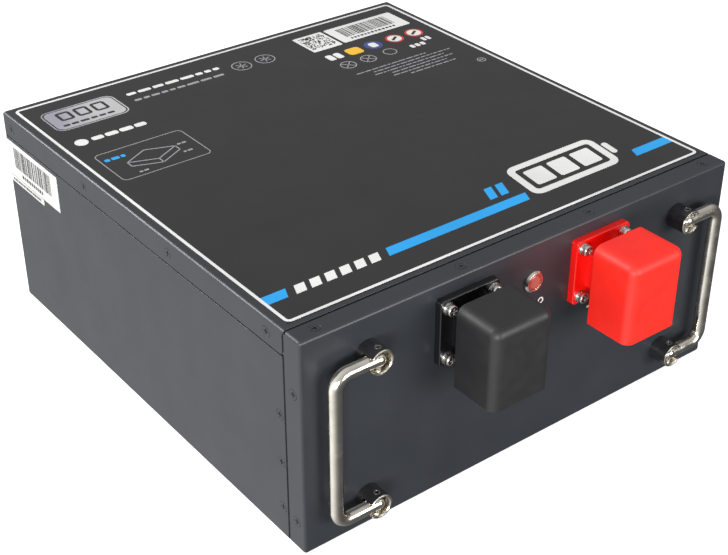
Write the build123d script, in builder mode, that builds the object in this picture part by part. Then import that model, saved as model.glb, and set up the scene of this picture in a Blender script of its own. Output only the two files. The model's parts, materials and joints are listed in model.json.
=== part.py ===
from build123d import *
import os

# Deep cycle battery: a folded sheet-metal case with a flanged front panel that carries two
# fold-out handles, two hooded terminals and a push button. Twelve prismatic cells are inside.
# Millimetres. +X is to the right along the front panel, +Y to the back, +Z up. The origin is
# the centre of the case's footprint, on the face that it stands on.

os.makedirs("parts", exist_ok=True)

# ---------------------------------------------------------------- driving dimensions
CASE_W = 330.0
CASE_D = 345.0
CASE_H = 145.0
SHEET = 1.5
BEND = 2.0
FRONT_Y = -CASE_D / 2
REAR_Y = CASE_D / 2
SIDE_X = CASE_W / 2
FIT = 0.1

TOP_FLANGE = 13.2
PANEL_FLANGE = 14.4
SEAM = 1.6
LID_FLANGE = 16.2
LID_NOTCH = 1.6
LID_SEAM = 1.0
THROUGH = 3.0

FRAME_DEPTH = 26.0
RAIL_DROP = 31.0

SCREW_HEAD_R = 3.2
SCREW_HEAD_H = 1.5
SCREW_SHANK_R = 1.4
SCREW_LENGTH = 6.0
SEAT_R = 3.5
SEAT_ANGLE = 100
SEAT_HOLE_R = 1.6
TAPPED_R = 1.45
COLUMN_X = (-150.0, -50.0, 50.0, 150.0)

POST_X = 121.0
POST_Z = (21.5, 121.5)
POST_R = 8.0
POST_LENGTH = 13.5
CUP_R = 6.1
CUP_FLOOR = 4.2
PIVOT_OUT = 9.0
ROD_R = 4.1
BALL_R = 4.4
SLOT_H = 8.9
REACH = 28.4
BOW_BEND = 8.5
PIN_R = 2.0
PIN_BORE_R = 1.2
PIN_RUNNING = 0.05
POST_STUD_R = 3.0
POST_STUD_LENGTH = 9.0

TERMINAL_X = 52.0
TERMINAL_Z = 114.0
PLATE = 43.6
PLATE_T = 4.8
PLATE_ROUND = 2.4
NECK = 25.0
NECK_OUT = 18.4
PLATE_HOLES = 33.0
STUD_R = 9.0
PAD_R = 10.0
PAD_OUT = 19.9
STUD_IN = 14.0
BOLT_R = 4.0

HOOD_W = 42.4
HOOD_H = 53.0
HOOD_D = 32.2
HOOD_BACK = 17.0
HOOD_Z = 112.7
HOOD_ROUND = 6.0
HOOD_WALL = 2.2
HOOD_FIT = 0.3

BUTTON_Z = 119.3
BUTTON_FLANGE_R = 7.0
BARREL_R = 5.9
LENS_R = 4.2
BUTTON_TRAVEL = 1.5

CELL_W = 49.5
CELL_L = 157.5
CELL_H = 117.0
CELL_PITCH = 50.5
ROW_PITCH = 159.5
CELL_BASE = 4.5
CELL_TERMINAL_Y = 60.0
REAR_PAD = 3.0


# ---------------------------------------------------------------- planes and helpers
def on_front(x, z, out=0.0):
    """Plane on the front panel: local x is +X, local y is +Z, and its normal points out (-Y)."""
    return Plane(origin=(x, FRONT_Y - out, z), x_dir=(1, 0, 0), z_dir=(0, -1, 0))


def on_side(side, y, z):
    """Plane on a side wall, side -1 for the left and +1 for the right, normal pointing out."""
    return Plane(origin=(side * SIDE_X, y, z), x_dir=(0, side, 0), z_dir=(side, 0, 0))


def on_rear(x, z):
    return Plane(origin=(x, REAR_Y, z), x_dir=(-1, 0, 0), z_dir=(0, 1, 0))


def on_top(x, y, z=CASE_H):
    return Plane(origin=(x, y, z), x_dir=(1, 0, 0), z_dir=(0, 0, 1))


def on_bottom(x, y):
    return Plane(origin=(x, y, 0), x_dir=(1, 0, 0), z_dir=(0, 0, -1))


def places(planes):
    return [plane.location for plane in planes]


def block(low, high):
    """A plain box between two opposite corners, for use with add()."""
    with BuildPart() as piece:
        with BuildSketch(Plane.XY.offset(low[2])):
            with Locations(((low[0] + high[0]) / 2, (low[1] + high[1]) / 2)):
                Rectangle(high[0] - low[0], high[1] - low[1])
        extrude(amount=high[2] - low[2])
    return piece.part


def bent_block(low, high, open_sides, radius):
    """A box with every edge rounded, except those of the sides named in open_sides."""
    plain = block(low, high)
    with BuildPart() as piece:
        add(plain)
        ends = {"front": (Axis.Y, 0), "rear": (Axis.Y, -1), "bottom": (Axis.Z, 0), "top": (Axis.Z, -1)}
        kept = ShapeList()
        for side in open_sides:
            axis, index = ends[side]
            kept += piece.faces().sort_by(axis)[index].edges()
        fillet(piece.edges() - kept, radius=radius)
    return piece.part


def folded_sheet(low, high, open_sides):
    """Sheet metal folded into a box that is open on the named sides."""
    reach = {"front": (1, 0), "rear": (1, 1), "bottom": (2, 0), "top": (2, 1)}
    inner = [[value + SHEET for value in low], [value - SHEET for value in high]]
    for side in open_sides:
        axis, end = reach[side]
        inner[end][axis] += (2 * end - 1) * 4 * SHEET
    outside = bent_block(low, high, open_sides, BEND)
    inside = bent_block(inner[0], inner[1], open_sides, BEND - SHEET)
    with BuildPart() as piece:
        add(outside)
        add(inside, mode=Mode.SUBTRACT)
    return piece.part


def save(piece, name):
    piece.part.label = name
    export_step(piece.part, f"parts/{name}.step")


def ring(plane, outer_r, inner_r, length):
    """A plain ring or tube standing on a plane."""
    with BuildPart() as piece:
        with BuildSketch(plane):
            Circle(outer_r)
            Circle(inner_r, mode=Mode.SUBTRACT)
        extrude(amount=length)
    return piece


def copies(single, planes):
    """Identical loose pieces, one at each plane."""
    with BuildPart() as group:
        with Locations(*places(planes)):
            add(single.part)
    return group


# ---------------------------------------------------------------- screw seats on the sheet metal
LID_SCREW_Z = 136.0
LID_SCREW_Y = (-141.8, -41.5, 59.5, 160.5)
FLANGE_SCREW_Y = FRONT_Y + 7.2
FLANGE_SCREW_Z = (19.9, 108.4)
WALL_SCREW_Y = FRONT_Y + 20.5
WALL_SCREW_Z = (21.7, 54.4, 87.2)

lid_seats = [on_side(side, y, LID_SCREW_Z) for side in (-1, 1) for y in LID_SCREW_Y]
lid_seats += [on_rear(x, LID_SCREW_Z) for x in COLUMN_X]
panel_seats = [on_top(x, FLANGE_SCREW_Y) for x in COLUMN_X]
panel_seats += [on_bottom(x, FLANGE_SCREW_Y) for x in COLUMN_X]
panel_seats += [on_side(side, FLANGE_SCREW_Y, z) for side in (-1, 1) for z in FLANGE_SCREW_Z]
wall_seats = [on_side(side, WALL_SCREW_Y, z) for side in (-1, 1) for z in WALL_SCREW_Z]


# ---------------------------------------------------------------- case: tub, lid, front panel
TUB_FRONT = FRONT_Y + PANEL_FLANGE + SEAM
TUB_H = CASE_H - LID_FLANGE - LID_SEAM
LID_FRONT = FRONT_Y + TOP_FLANGE + SEAM
PANEL_REAR = FRONT_Y + PANEL_FLANGE

tub_sheet = folded_sheet((-SIDE_X, TUB_FRONT, 0), (SIDE_X, REAR_Y, TUB_H), ("top", "front"))
with BuildPart() as case_tub:
    add(tub_sheet)
    with Locations(*places(wall_seats)):
        CounterSinkHole(SEAT_HOLE_R, SEAT_R, depth=THROUGH, counter_sink_angle=SEAT_ANGLE)
save(case_tub, "case_tub")

lid_low = (-SIDE_X, LID_FRONT, CASE_H - LID_FLANGE)
lid_sheet = folded_sheet(lid_low, (SIDE_X, REAR_Y, CASE_H), ("bottom", "front"))
step_low = (-SIDE_X - 1, LID_FRONT - 1, CASE_H - LID_FLANGE - 1)
lid_step = block(step_low, (SIDE_X + 1, TUB_FRONT, CASE_H - BEND))
with BuildPart() as lid:
    add(lid_sheet)
    add(lid_step, mode=Mode.SUBTRACT)
    flange_corners = lid.edges().filter_by(Axis.X).group_by(Axis.Z)[0].group_by(Axis.Y)[0]
    chamfer(flange_corners, length=LID_NOTCH)
    with Locations(*places(lid_seats)):
        CounterSinkHole(SEAT_HOLE_R, SEAT_R, depth=THROUGH, counter_sink_angle=SEAT_ANGLE)
save(lid, "lid")

CLINCH_HOLE_R = 2.6
plate_screw_spots = [
    (side * TERMINAL_X + dx, TERMINAL_Z + dz)
    for side in (-1, 1)
    for dx in (-PLATE_HOLES / 2, PLATE_HOLES / 2)
    for dz in (-PLATE_HOLES / 2, PLATE_HOLES / 2)
]
post_spots = [(side * POST_X, z) for side in (-1, 1) for z in POST_Z]

panel_sheet = folded_sheet((-SIDE_X, FRONT_Y, 0), (SIDE_X, PANEL_REAR, CASE_H), ("rear",))
trim_low = (-SIDE_X - 1, FRONT_Y + TOP_FLANGE, CASE_H - BEND)
panel_trim = block(trim_low, (SIDE_X + 1, PANEL_REAR + 1, CASE_H + 1))
with BuildPart() as front_panel:
    add(panel_sheet)
    add(panel_trim, mode=Mode.SUBTRACT)
    with Locations(*places(panel_seats)):
        CounterSinkHole(SEAT_HOLE_R, SEAT_R, depth=THROUGH, counter_sink_angle=SEAT_ANGLE)
    with Locations(*places([on_front(side * TERMINAL_X, TERMINAL_Z) for side in (-1, 1)])):
        Hole(radius=STUD_R + 4 * FIT, depth=THROUGH)
    with Locations(*places([on_front(x, z) for x, z in plate_screw_spots])):
        Hole(radius=CLINCH_HOLE_R, depth=THROUGH)
    with Locations(*places([on_front(x, z) for x, z in post_spots])):
        Hole(radius=POST_STUD_R + FIT, depth=THROUGH)
    with Locations(on_front(0, BUTTON_Z).location):
        Hole(radius=BARREL_R + FIT, depth=THROUGH)
save(front_panel, "front_panel")

FRAME_GAP = SHEET + FIT
INNER_BEND = BEND - SHEET
FRAME_SIZE = (CASE_W - 2 * FRAME_GAP, CASE_H - 2 * FRAME_GAP)
with BuildPart() as front_frame:
    with BuildSketch(on_front(0, CASE_H / 2, -FRAME_GAP - INNER_BEND)):
        RectangleRounded(FRAME_SIZE[0], FRAME_SIZE[1], BEND)
        offset(amount=-SHEET, mode=Mode.SUBTRACT)
    extrude(amount=-FRAME_DEPTH)
    with Locations(*places(panel_seats + wall_seats)):
        Hole(radius=TAPPED_R, depth=2 * THROUGH)
save(front_frame, "front_frame")

FRAME_REAR = FRONT_Y + FRAME_GAP + INNER_BEND + FRAME_DEPTH
RAIL_FRONT = FRAME_REAR + 1.0
RAIL_REAR = REAR_Y - FRAME_GAP
RAIL_X = SIDE_X - FRAME_GAP
RAIL_TOP = CASE_H - FRAME_GAP - INNER_BEND
rail_outside = block((-RAIL_X, RAIL_FRONT, RAIL_TOP - RAIL_DROP), (RAIL_X, RAIL_REAR, RAIL_TOP))
rail_low = (SHEET - RAIL_X, RAIL_FRONT - 1, RAIL_TOP - RAIL_DROP - 1)
rail_inside = block(rail_low, (RAIL_X - SHEET, RAIL_REAR - SHEET, RAIL_TOP + 1))
with BuildPart() as lid_rail:
    add(rail_outside)
    add(rail_inside, mode=Mode.SUBTRACT)
    rear_corners = lid_rail.edges().filter_by(Axis.Z).group_by(Axis.Y)[-1]
    fillet(rear_corners, radius=BEND / 2)
    with Locations(*places(lid_seats)):
        Hole(radius=TAPPED_R, depth=2 * THROUGH)
save(lid_rail, "lid_rail")


# ---------------------------------------------------------------- countersunk cover screws
HEAD_SET = 0.05
SCREW_TIP = 0.3
CROSS_TAPER = 12


def cross_recess(plane, length, width, depth):
    """A cross-shaped pocket for a screwdriver, to be subtracted from a screw head."""
    with BuildPart() as pocket:
        with BuildSketch(plane):
            Rectangle(length, width)
            Rectangle(width, length)
        extrude(amount=-depth, taper=CROSS_TAPER)
    return pocket.part


cover_cross = cross_recess(Plane.XY, 3.9, 0.85, 1.1)
with BuildPart() as cover_screw:
    with BuildSketch(Plane.XZ):
        with BuildLine():
            Polyline(
                (0, -HEAD_SET),
                (SCREW_HEAD_R, -HEAD_SET),
                (SCREW_SHANK_R, -HEAD_SET - SCREW_HEAD_H),
                (SCREW_SHANK_R, -SCREW_LENGTH + SCREW_TIP),
                (SCREW_SHANK_R - SCREW_TIP, -SCREW_LENGTH),
                (0, -SCREW_LENGTH),
                close=True,
            )
        make_face()
    revolve(axis=Axis.Z)
    add(cover_cross, mode=Mode.SUBTRACT)

cover_screws = copies(cover_screw, lid_seats + panel_seats + wall_seats)
save(cover_screws, "cover_screws")

# ---------------------------------------------------------------- labels stuck on the case
LABEL_T = 0.3
LABEL_LOW = (-159.5, -154.0)
LABEL_HIGH = (160.0, 166.5)
LABEL_ROUND = 1.2
STICKER_T = 0.15
STICKER_REAR_Y = REAR_Y - BEND
STICKER = (72.0, 26.4, 112.6)
STRIP = (48.0, 4.6, 96.6)

with BuildPart() as top_label:
    with BuildSketch(Plane.XY.offset(CASE_H)):
        with Locations(((LABEL_LOW[0] + LABEL_HIGH[0]) / 2, (LABEL_LOW[1] + LABEL_HIGH[1]) / 2)):
            RectangleRounded(LABEL_HIGH[0] - LABEL_LOW[0], LABEL_HIGH[1] - LABEL_LOW[1], LABEL_ROUND)
    extrude(amount=LABEL_T)
save(top_label, "top_label")

with BuildPart() as side_labels:
    for length, height, centre_z in (STICKER, STRIP):
        with BuildSketch(on_side(-1, STICKER_REAR_Y - length / 2, centre_z)):
            RectangleRounded(length, height, 0.6)
    extrude(amount=STICKER_T)
save(side_labels, "side_labels")

# ---------------------------------------------------------------- handles
ROUND_FIT = 0.03
POST_CHAMFER = 0.5


def make_post(side, z):
    """A turned post: a cup with a slot towards the case's side, and a threaded stud behind."""
    with BuildPart() as post:
        with BuildSketch(on_front(side * POST_X, z)):
            Circle(POST_R)
        extrude(amount=POST_LENGTH)
        chamfer(post.faces().sort_by(Axis.Y)[0].edges(), length=POST_CHAMFER)
        with BuildSketch(on_front(side * POST_X, z)):
            Circle(POST_STUD_R)
        extrude(amount=-POST_STUD_LENGTH)
        with BuildSketch(on_front(side * POST_X, z, CUP_FLOOR)):
            Circle(CUP_R)
        extrude(amount=POST_LENGTH, mode=Mode.SUBTRACT)
        rim = post.faces().sort_by(Axis.Y)[0].edges().sort_by(SortBy.RADIUS)[0]
        chamfer(rim, length=POST_CHAMFER)
        with BuildSketch(on_front(side * (POST_X + POST_R), z, CUP_FLOOR + FIT)):
            Rectangle(2 * POST_R, SLOT_H)
        extrude(amount=POST_LENGTH, mode=Mode.SUBTRACT)
        with BuildSketch(Plane.XY.offset(z - POST_R - 1)):
            with Locations((side * POST_X, FRONT_Y - PIVOT_OUT)):
                Circle(PIN_R + ROUND_FIT)
        extrude(amount=2 * POST_R + 2, mode=Mode.SUBTRACT)
    return post


def make_handle(side):
    """A bow bent from round rod, with a ball at each end that turns on its pivot pin."""
    grip_x = side * (POST_X + REACH)
    pivot_y = FRONT_Y - PIVOT_OUT
    low, high = POST_Z
    with BuildPart() as handle:
        with BuildLine(Plane.XZ.offset(-pivot_y)) as centre_line:
            FilletPolyline(
                (side * POST_X, high),
                (grip_x, high),
                (grip_x, low),
                (side * POST_X, low),
                radius=BOW_BEND,
            )
        with BuildSketch(Plane(origin=(side * POST_X, pivot_y, high), z_dir=(side, 0, 0))):
            Circle(ROD_R)
        sweep(path=centre_line.line)
        with Locations((side * POST_X, pivot_y, low), (side * POST_X, pivot_y, high)):
            Sphere(BALL_R)
        with BuildSketch(Plane.XY.offset(low - BALL_R - 1)):
            with Locations((side * POST_X, pivot_y)):
                Circle(PIN_R + PIN_RUNNING)
        extrude(amount=high - low + 2 * BALL_R + 2, mode=Mode.SUBTRACT)
    return handle


for side, side_name in ((-1, "left"), (1, "right")):
    for z, level in zip(POST_Z, ("lower", "upper")):
        save(make_post(side, z), f"{side_name}_{level}_post")
    save(make_handle(side), f"{side_name}_handle")

handle_pin = ring(Plane.XY.offset(-POST_R + 0.1), PIN_R, PIN_BORE_R, 2 * POST_R - 0.2)
handle_pins = copies(handle_pin, [on_top(x, FRONT_Y - PIVOT_OUT, z) for x, z in post_spots])
save(handle_pins, "handle_pins")

WASHER_T = 1.0
POST_WASHER_R = 6.0
post_washer = ring(Plane.XY, POST_WASHER_R, POST_STUD_R + FIT, WASHER_T)
post_washers = copies(post_washer, [on_front(x, z, -SHEET - WASHER_T) for x, z in post_spots])
save(post_washers, "post_washers")


def hex_nut(across_flats, bore_r, height):
    with BuildPart() as nut:
        with BuildSketch(Plane.XY):
            RegularPolygon(across_flats / 2, 6, major_radius=False)
            Circle(bore_r, mode=Mode.SUBTRACT)
        extrude(amount=height)
    return nut


POST_NUT_H = 4.0
POST_NUT_FLATS = 10.0
post_nut = hex_nut(POST_NUT_FLATS, POST_STUD_R + ROUND_FIT, POST_NUT_H)
post_nuts = copies(post_nut, [on_front(x, z, -SHEET - WASHER_T - POST_NUT_H) for x, z in post_spots])
save(post_nuts, "post_nuts")

# ---------------------------------------------------------------- terminals
SEAL_OUTER_R = 18.0
SEAL_INNER_R = 15.0
SEAL_GROOVE = 1.4
PLATE_SCREW_R = 1.95
PLATE_HOLE_R = 2.2
FLAT_WASHER_R = 4.1
FLAT_WASHER_T = 0.8
SPRING_WASHER_R = 3.5
SPRING_WASHER_T = 1.1
PAN_HEAD_R = 3.4
PAN_HEAD_H = 2.8
PLATE_SCREW_LENGTH = 11.0
TAIL_THREAD_R = 2.5
TAIL_THREAD = 10.0
BOLT_THREAD = 15.0


def make_base(side):
    """Square insulating plate with a raised neck, which the stud passes through."""
    x = side * TERMINAL_X
    with BuildPart() as base:
        with BuildSketch(on_front(x, TERMINAL_Z)):
            RectangleRounded(PLATE, PLATE, PLATE_ROUND)
        extrude(amount=PLATE_T)
        fillet(base.faces().sort_by(Axis.Y)[0].edges(), radius=0.8)
        with BuildSketch(on_front(x, TERMINAL_Z, PLATE_T)):
            RectangleRounded(NECK, NECK, PLATE_ROUND)
        extrude(amount=NECK_OUT - PLATE_T)
        with BuildSketch(on_front(x, TERMINAL_Z)):
            Circle(SEAL_OUTER_R)
            Circle(SEAL_INNER_R, mode=Mode.SUBTRACT)
        extrude(amount=SEAL_GROOVE, mode=Mode.SUBTRACT)
        with BuildSketch(on_front(x, TERMINAL_Z)):
            Circle(STUD_R + FIT)
            with GridLocations(PLATE_HOLES, PLATE_HOLES, 2, 2):
                Circle(PLATE_HOLE_R)
        extrude(amount=2 * NECK_OUT, mode=Mode.SUBTRACT)
    return base


def make_stud(side):
    """Conductor through the panel: a contact pad outside and a tapped tail inside."""
    x = side * TERMINAL_X
    with BuildPart() as stud:
        with BuildSketch(on_front(x, TERMINAL_Z, -STUD_IN)):
            Circle(STUD_R)
        extrude(amount=STUD_IN + PAD_OUT)
        with BuildSketch(on_front(x, TERMINAL_Z, NECK_OUT + FIT)):
            Circle(PAD_R)
        extrude(amount=PAD_OUT - NECK_OUT - FIT)
        chamfer(stud.faces().sort_by(Axis.Y)[0].edges(), length=0.3)
        with BuildSketch(on_front(x, TERMINAL_Z, PAD_OUT)):
            Circle(BOLT_R)
        extrude(amount=-BOLT_THREAD, mode=Mode.SUBTRACT)
        with BuildSketch(on_front(x, TERMINAL_Z, -STUD_IN)):
            Circle(TAIL_THREAD_R)
        extrude(amount=TAIL_THREAD, mode=Mode.SUBTRACT)
    return stud


def hood_block(x, z, out, size, radius):
    """Width, height and depth of size, rounded on every edge but those of its back and bottom."""
    width, height, depth = size
    with BuildPart() as piece:
        with BuildSketch(on_front(x, z, out)):
            Rectangle(width, height)
        extrude(amount=depth)
        front_edges = piece.faces().sort_by(Axis.Y)[0].edges().sort_by(Axis.Z)[1:]
        top_edges = piece.faces().sort_by(Axis.Z)[-1].edges().filter_by(Axis.Y)
        fillet(front_edges + top_edges, radius=radius)
    return piece.part


def make_hood(side):
    """Soft cover with a round-edged top and front, open below for the cable."""
    x = side * TERMINAL_X
    hollow_size = (HOOD_W - 2 * HOOD_WALL, HOOD_H, HOOD_D - 2 * HOOD_WALL)
    outside = hood_block(x, HOOD_Z, HOOD_BACK, (HOOD_W, HOOD_H, HOOD_D), HOOD_ROUND)
    hollow_out = HOOD_BACK + HOOD_WALL
    hollow = hood_block(x, HOOD_Z - HOOD_WALL, hollow_out, hollow_size, HOOD_ROUND - HOOD_WALL)
    with BuildPart() as hood:
        add(outside)
        add(hollow, mode=Mode.SUBTRACT)
        with BuildSketch(on_front(x, TERMINAL_Z, HOOD_BACK - 1)):
            RectangleRounded(NECK + 2 * HOOD_FIT, NECK + 2 * HOOD_FIT, PLATE_ROUND + HOOD_FIT)
        extrude(amount=HOOD_WALL + 2, mode=Mode.SUBTRACT)
    return hood


for side, pole in ((-1, "negative"), (1, "positive")):
    save(make_base(side), f"{pole}_base")
    save(make_stud(side), f"{pole}_stud")
    save(make_hood(side), f"{pole}_hood")

poles = [(side * TERMINAL_X, TERMINAL_Z) for side in (-1, 1)]

terminal_seal = ring(Plane.XY, SEAL_OUTER_R - FIT, SEAL_INNER_R + FIT, SEAL_GROOVE - FIT)
terminal_seals = copies(terminal_seal, [on_front(x, z) for x, z in poles])
save(terminal_seals, "terminal_seals")

STUD_NUT_H = 5.0
STUD_NUT_FLATS = 26.0
stud_nut = hex_nut(STUD_NUT_FLATS, STUD_R + ROUND_FIT, STUD_NUT_H)
stud_nuts = copies(stud_nut, [on_front(x, z, -SHEET - STUD_NUT_H) for x, z in poles])
save(stud_nuts, "stud_nuts")

BOLT_WASHER_T = 1.6
BOLT_SPRING_T = 2.0
BOLT_WASHER_R = 8.5
BOLT_SPRING_R = 7.0
terminal_washer = ring(Plane.XY, BOLT_WASHER_R, BOLT_R + FIT, BOLT_WASHER_T)
terminal_washers = copies(terminal_washer, [on_front(x, z, PAD_OUT) for x, z in poles])
save(terminal_washers, "terminal_washers")


SPLIT = 0.5


def spring_washer(outer_r, inner_r, thickness):
    """A split ring."""
    with BuildPart() as washer:
        with BuildSketch(Plane.XY):
            Circle(outer_r)
            Circle(inner_r, mode=Mode.SUBTRACT)
            with Locations((0, outer_r)):
                Rectangle(SPLIT, 2 * outer_r - inner_r, mode=Mode.SUBTRACT)
        extrude(amount=thickness)
    return washer


bolt_spring = spring_washer(BOLT_SPRING_R, BOLT_R + FIT, BOLT_SPRING_T)
terminal_springs = copies(bolt_spring, [on_front(x, z, PAD_OUT + BOLT_WASHER_T) for x, z in poles])
save(terminal_springs, "terminal_spring_washers")

BOLT_LENGTH = 16.0
BOLT_HEAD_H = 5.3
BOLT_FLATS = 13.0
with BuildPart() as terminal_bolt:
    with BuildSketch(Plane.XY):
        RegularPolygon(BOLT_FLATS / 2, 6, major_radius=False)
    extrude(amount=BOLT_HEAD_H)
    chamfer(terminal_bolt.faces().sort_by(Axis.Z)[-1].edges(), length=0.5)
    with BuildSketch(Plane.XY):
        Circle(BOLT_R - ROUND_FIT)
    extrude(amount=-BOLT_LENGTH)
bolt_seat = PAD_OUT + BOLT_WASHER_T + BOLT_SPRING_T
terminal_bolts = copies(terminal_bolt, [on_front(x, z, bolt_seat) for x, z in poles])
save(terminal_bolts, "terminal_bolts")

base_washer = ring(Plane.XY, FLAT_WASHER_R, PLATE_HOLE_R, FLAT_WASHER_T)
base_washers = copies(base_washer, [on_front(x, z, PLATE_T) for x, z in plate_screw_spots])
save(base_washers, "base_flat_washers")

base_spring = spring_washer(SPRING_WASHER_R, PLATE_HOLE_R, SPRING_WASHER_T)
spring_seat = PLATE_T + FLAT_WASHER_T
base_springs = copies(base_spring, [on_front(x, z, spring_seat) for x, z in plate_screw_spots])
save(base_springs, "base_spring_washers")

pan_cross = cross_recess(Plane.XY.offset(PAN_HEAD_H), 4.2, 0.9, 1.6)
with BuildPart() as base_screw:
    with BuildSketch(Plane.XY):
        Circle(PAN_HEAD_R)
    extrude(amount=PAN_HEAD_H)
    fillet(base_screw.faces().sort_by(Axis.Z)[-1].edges(), radius=1.2)
    with BuildSketch(Plane.XY):
        Circle(PLATE_SCREW_R)
    extrude(amount=-PLATE_SCREW_LENGTH)
    add(pan_cross, mode=Mode.SUBTRACT)
head_seat = spring_seat + SPRING_WASHER_T
base_screws = copies(base_screw, [on_front(x, z, head_seat) for x, z in plate_screw_spots])
save(base_screws, "base_screws")

CLINCH_R = 4.0
CLINCH_H = 3.0
with BuildPart() as clinch_nut:
    with BuildSketch(Plane.XY):
        Circle(CLINCH_HOLE_R - ROUND_FIT)
    extrude(amount=SHEET)
    with BuildSketch(Plane.XY):
        Circle(CLINCH_R)
    extrude(amount=-CLINCH_H)
    with BuildSketch(Plane.XY.offset(-CLINCH_H)):
        Circle(PLATE_SCREW_R + ROUND_FIT)
    extrude(amount=2 * CLINCH_H, mode=Mode.SUBTRACT)
clinch_nuts = copies(clinch_nut, [on_front(x, z, -SHEET) for x, z in plate_screw_spots])
save(clinch_nuts, "clinch_nuts")

# ---------------------------------------------------------------- push button
BARREL_IN = 16.0
BEZEL_OUT = 2.4
BEZEL_SLOPE = 1.2
BEZEL_GROOVE = (4.7, 5.1)
BEZEL_GROOVE_IN = 0.5
LENS_OUT = 2.5
LENS_IN = 5.0
BARREL_BORE_IN = 13.0
SPRING_WIRE_R = 0.35
SPRING_R = 3.2

with BuildPart() as button_body:
    with BuildSketch(on_front(0, BUTTON_Z)):
        Circle(BUTTON_FLANGE_R)
    extrude(amount=BEZEL_OUT)
    chamfer(button_body.faces().sort_by(Axis.Y)[0].edges(), length=BEZEL_SLOPE)
    with BuildSketch(on_front(0, BUTTON_Z)):
        Circle(BARREL_R)
    extrude(amount=-BARREL_IN)
    with BuildSketch(on_front(0, BUTTON_Z, BEZEL_OUT)):
        Circle(LENS_R + FIT)
    extrude(amount=-(BEZEL_OUT + BARREL_BORE_IN), mode=Mode.SUBTRACT)
    with BuildSketch(on_front(0, BUTTON_Z, BEZEL_OUT)):
        Circle(BEZEL_GROOVE[1])
        Circle(BEZEL_GROOVE[0], mode=Mode.SUBTRACT)
    extrude(amount=-BEZEL_GROOVE_IN, mode=Mode.SUBTRACT)
save(button_body, "button_body")

with BuildPart() as button_cap:
    with BuildSketch(on_front(0, BUTTON_Z, -LENS_IN)):
        Circle(LENS_R)
    extrude(amount=LENS_IN + LENS_OUT)
    fillet(button_cap.faces().sort_by(Axis.Y)[0].edges(), radius=0.6)
save(button_cap, "button_cap")

SPRING_TURNS = 5
spring_length = BARREL_BORE_IN - LENS_IN - BUTTON_TRAVEL - 2 * SPRING_WIRE_R
with BuildPart() as spring_coil:
    with BuildLine() as coil:
        Helix(pitch=spring_length / SPRING_TURNS, height=spring_length, radius=SPRING_R)
    with BuildSketch(Plane(origin=coil.line @ 0, z_dir=coil.line % 0)):
        Circle(SPRING_WIRE_R)
    sweep(path=coil.line, is_frenet=True)
coil_seat = on_front(0, BUTTON_Z, -BARREL_BORE_IN + SPRING_WIRE_R)
button_spring = copies(spring_coil, [coil_seat])
save(button_spring, "button_spring")

BUTTON_NUT_H = 2.5
BUTTON_NUT_FLATS = 15.0
barrel_nut = hex_nut(BUTTON_NUT_FLATS, BARREL_R + ROUND_FIT, BUTTON_NUT_H)
button_nut = copies(barrel_nut, [on_front(0, BUTTON_Z, -SHEET - BUTTON_NUT_H)])
save(button_nut, "button_nut")

# ---------------------------------------------------------------- cells
REAR_ROW_Y = REAR_Y - SHEET - REAR_PAD - CELL_L / 2
CELL_TOP = CELL_BASE + CELL_H
POST_PAD_H = 3.0
POST_PAD = (26.0, 18.0)
VENT = (22.0, 12.0)
VENT_DEPTH = 0.6


def make_cell(x, y):
    """A prismatic cell: rounded can, pressure vent, fill plug and two terminal pads."""
    with BuildPart() as cell:
        with BuildSketch(Plane.XY.offset(CELL_BASE)):
            with Locations((x, y)):
                RectangleRounded(CELL_W, CELL_L, 3.0)
        extrude(amount=CELL_H)
        with BuildSketch(Plane.XY.offset(CELL_TOP)):
            with Locations((x, y - CELL_TERMINAL_Y), (x, y + CELL_TERMINAL_Y)):
                RectangleRounded(POST_PAD[0], POST_PAD[1], 2.0)
        extrude(amount=POST_PAD_H)
        with BuildSketch(Plane.XY.offset(CELL_TOP)):
            with Locations((x, y)):
                SlotOverall(VENT[0], VENT[1])
            with Locations((x, y + 2 * VENT[1])):
                Circle(2.5)
        extrude(amount=-VENT_DEPTH, mode=Mode.SUBTRACT)
    return cell


columns = [(index - 2.5) * CELL_PITCH for index in range(6)]
rows = [REAR_ROW_Y - ROW_PITCH, REAR_ROW_Y]
cell_spots = [(x, y) for y in rows for x in columns]
for number, (x, y) in enumerate(cell_spots, start=1):
    save(make_cell(x, y), f"cell_{number:02d}")

SPACER_T = 0.8
with BuildPart() as cell_spacers:
    with BuildSketch(Plane.XY.offset(CELL_BASE)):
        with Locations(*[((a + b) / 2, y) for y in rows for a, b in zip(columns, columns[1:])]):
            Rectangle(SPACER_T, CELL_L - 8)
    extrude(amount=CELL_H - 6)
save(cell_spacers, "cell_spacers")

# ---------------------------------------------------------------- conductors above the cells
BAR_T = 2.0
BAR_Z = CELL_TOP + POST_PAD_H
BAR_D = 16.0
BAR_END = 24.0
BAR_W = 2 * CELL_PITCH + BAR_END
STRAP_T = 3.0
LEFT_X = columns[1]
RIGHT_X = columns[4]
front_terminals_y = rows[0] - CELL_TERMINAL_Y
rear_terminals_y = rows[1] + CELL_TERMINAL_Y
middle_y = (rows[0] + rows[1]) / 2
MIDDLE_BAR_D = ROW_PITCH - 2 * CELL_TERMINAL_Y + BAR_D

with BuildPart() as series_links:
    with BuildSketch(Plane.XY.offset(BAR_Z)):
        with Locations((LEFT_X, middle_y), (RIGHT_X, middle_y)):
            RectangleRounded(BAR_W, MIDDLE_BAR_D, 2.0)
        with Locations((0, rear_terminals_y)):
            RectangleRounded(5 * CELL_PITCH + BAR_END, BAR_D, 2.0)
    extrude(amount=BAR_T)
save(series_links, "series_links")

for pole, x in (("negative", LEFT_X), ("positive", RIGHT_X)):
    with BuildPart() as end_bar:
        with BuildSketch(Plane.XY.offset(BAR_Z)):
            with Locations((x, front_terminals_y)):
                RectangleRounded(BAR_W, BAR_D, 2.0)
        extrude(amount=BAR_T)
    save(end_bar, f"{pole}_busbar")

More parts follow.
